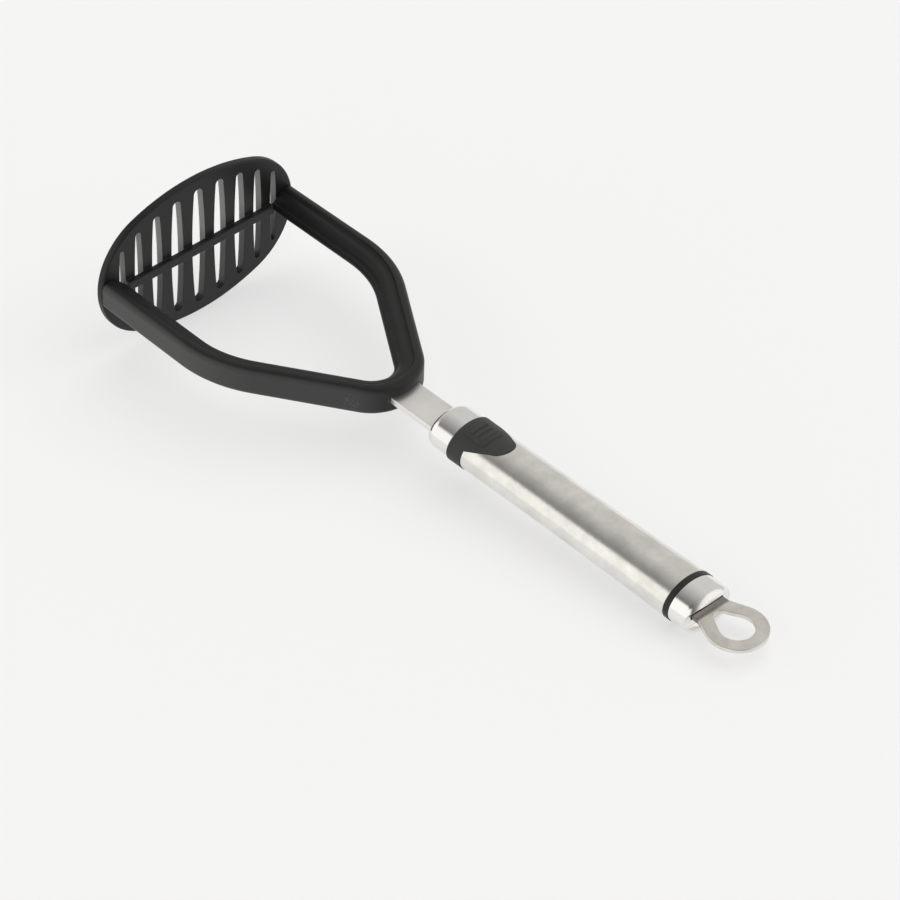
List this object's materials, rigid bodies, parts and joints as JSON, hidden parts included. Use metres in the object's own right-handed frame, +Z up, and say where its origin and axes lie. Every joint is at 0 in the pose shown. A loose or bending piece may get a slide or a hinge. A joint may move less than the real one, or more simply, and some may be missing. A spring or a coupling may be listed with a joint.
{
  "type": "potato masher",
  "caption": "Hand masher with an oval slotted black plate on a forked black frame, a flat steel shank and an oval steel handle with a soft thumb rest and a hanging loop",
  "frame": {"origin": "On the table under the middle of the masher's length and width, with the masher lying at rest on the plate's rim and the end cap", "axes": "+X from the plate to the hanging loop, +Y along the plate's long side, +Z up; the handle axis falls by 5.0 degrees towards the loop"},
  "size_m": [0.2756, 0.0876, 0.0585],
  "materials": {
    "black_nylon": "matte, finely grained",
    "plug_plastic": "matte",
    "soft_grip": "matte soft touch",
    "brushed_steel": "satin, brushed along the handle",
    "satin_steel": "satin",
    "polished_steel": "polished"
  },
  "bodies": {
    "root": {"masher_plate": "black_nylon", "yoke": "black_nylon", "shank": "satin_steel", "front_ferrule": "polished_steel", "front_plug": "plug_plastic", "shank_pin": "satin_steel", "thumb_grip": "soft_grip", "handle_tube": "brushed_steel", "rear_plug": "plug_plastic", "end_cap": "polished_steel", "hanging_loop": "satin_steel", "loop_pin": "satin_steel"}
  },
  "joints": []
}
